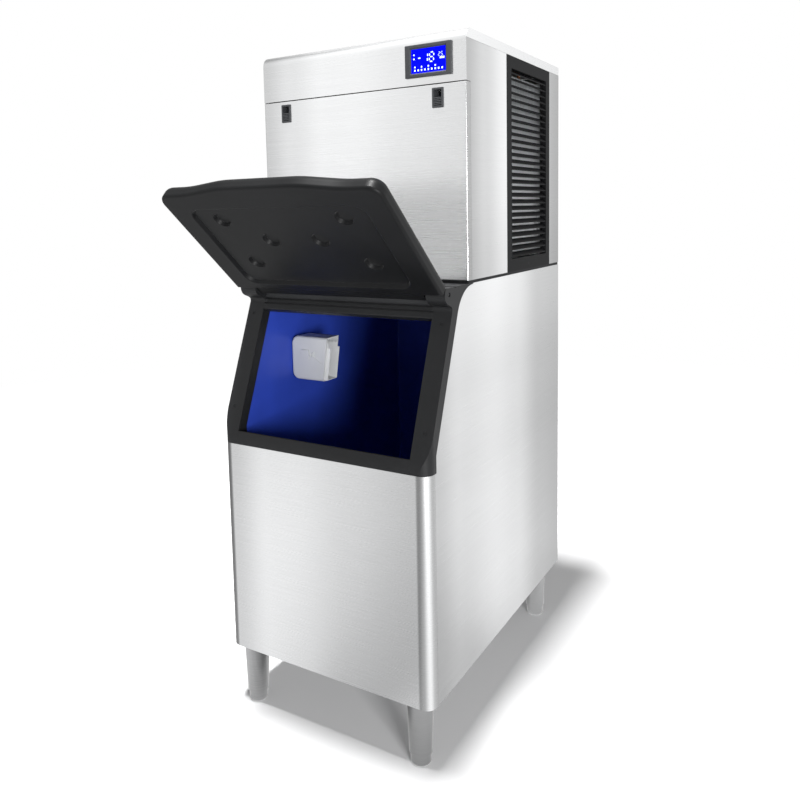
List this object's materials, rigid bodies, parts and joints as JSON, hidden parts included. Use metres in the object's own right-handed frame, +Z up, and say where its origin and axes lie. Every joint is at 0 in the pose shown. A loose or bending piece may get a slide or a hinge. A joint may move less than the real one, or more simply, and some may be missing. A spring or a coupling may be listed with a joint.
{
  "type": "cube ice machine",
  "caption": "Modular cube ice machine: an ice making head with a side grille and display on an insulated bin with a lift-up door, on levelling legs.",
  "frame": {"origin": "under the middle of the box round the whole machine with its door open as in the picture, on the floor", "axes": "+X to the right as seen from the front, +Y to the back, +Z up"},
  "size_m": [0.56, 1.0332, 1.602],
  "materials": {
    "stainless": "brushed",
    "galvanised": "satin",
    "frame_plastic": "satin",
    "door_plastic": "satin",
    "grille_plastic": "satin",
    "trim_plastic": "satin",
    "slider_plastic": "satin",
    "screen": "gloss",
    "liner_plastic": "satin",
    "foam": "matt",
    "grey_plastic": "satin",
    "scoop_plastic": "satin",
    "white_plastic": "satin",
    "rubber": "matt",
    "hinge_steel": "polished",
    "nickel": "satin",
    "copper": "satin",
    "fin_aluminium": "satin",
    "black_paint": "gloss",
    "brass": "satin",
    "valve_plastic": "satin"
  },
  "bodies": {
    "cabinet": {"bin_back_panel": "stainless", "bin_base": "galvanised", "bin_drain": "white_plastic", "bin_front_panel": "stainless", "bin_insulation": "foam", "bin_left_panel": "stainless", "bin_liner": "liner_plastic", "bin_right_panel": "stainless", "bulkhead": "galvanised", "compressor": "black_paint", "compressor_mounts": "rubber", "condenser": "fin_aluminium", "control_box": "galvanised", "curtain_hangers": "white_plastic", "display_bezel": "trim_plastic", "display_screen": "screen", "evaporator": "nickel", "evaporator_coil": "copper", "fan_motor": "black_paint", "fan_shroud": "galvanised", "filter_drier": "copper", "float_valve": "valve_plastic", "frame_bottom_rail": "frame_plastic", "frame_left_jamb": "frame_plastic", "frame_right_jamb": "frame_plastic", "frame_top_rail": "frame_plastic", "head_back_panel": "stainless", "head_base": "galvanised", "head_drain": "white_plastic", "head_front_panel": "stainless", "head_gasket": "rubber", "head_left_panel": "stainless", "head_right_panel": "stainless", "hinge_pins": "hinge_steel", "latch_housing_left": "trim_plastic", "latch_housing_right": "trim_plastic", "legs": "stainless", "motor_bracket": "galvanised", "panel_screws": "trim_plastic", "power_gland": "trim_plastic", "pump_hose": "rubber", "refrigerant_pipes": "copper", "scoop": "scoop_plastic", "scoop_holder": "grey_plastic", "side_grille": "grille_plastic", "spray_tube": "white_plastic", "top_cover": "stainless", "water_inlet": "brass", "water_pump": "black_paint", "water_trough": "white_plastic"},
    "door": {"bin_door": "door_plastic"},
    "latch_left": {"latch_slider_left": "slider_plastic"},
    "latch_right": {"latch_slider_right": "slider_plastic"},
    "fan": {"fan": "white_plastic"},
    "curtain": {"water_curtain": "white_plastic"},
    "float": {"float_arm": "white_plastic"},
    "foot_front_left": {"foot_front_left": "stainless"},
    "foot_front_right": {"foot_front_right": "stainless"},
    "foot_rear_left": {"foot_rear_left": "stainless"},
    "foot_rear_right": {"foot_rear_right": "stainless"}
  },
  "joints": [
    {"name": "door_hinge", "type": "hinge", "parent": "cabinet", "child": "door", "pos_m": [0, -0.22339, 1.03], "axis": [-1, 0, 0], "range_deg": [-110.1, 60]},
    {"name": "latch_left_slide", "type": "slide", "parent": "cabinet", "child": "latch_left", "axis": [0, 0, 1], "range_m": [0, 0.012]},
    {"name": "latch_right_slide", "type": "slide", "parent": "cabinet", "child": "latch_right", "axis": [0, 0, 1], "range_m": [0, 0.012]},
    {"name": "fan_spin", "type": "hinge", "parent": "cabinet", "child": "fan", "pos_m": [0.186, 0.26161, 1.3215], "axis": [1, 0, 0], "continuous": true},
    {"name": "curtain_swing", "type": "hinge", "parent": "cabinet", "child": "curtain", "pos_m": [0, 0.03861, 1.4945], "axis": [-1, 0, 0], "range_deg": [0, 20]},
    {"name": "float_swing", "type": "hinge", "parent": "cabinet", "child": "float", "pos_m": [-0.208, 0.06011, 1.1335], "axis": [0, 1, 0], "range_deg": [-15, 15]},
    {"name": "foot_front_left_turn", "type": "hinge", "parent": "cabinet", "child": "foot_front_left", "pos_m": [-0.2307, -0.29339, 0.03], "axis": [0, 0, 1], "continuous": true},
    {"name": "foot_front_right_turn", "type": "hinge", "parent": "cabinet", "child": "foot_front_right", "pos_m": [0.2307, -0.29339, 0.03], "axis": [0, 0, 1], "continuous": true},
    {"name": "foot_rear_left_turn", "type": "hinge", "parent": "cabinet", "child": "foot_rear_left", "pos_m": [-0.2307, 0.43511, 0.03], "axis": [0, 0, 1], "continuous": true},
    {"name": "foot_rear_right_turn", "type": "hinge", "parent": "cabinet", "child": "foot_rear_right", "pos_m": [0.2307, 0.43511, 0.03], "axis": [0, 0, 1], "continuous": true}
  ]
}
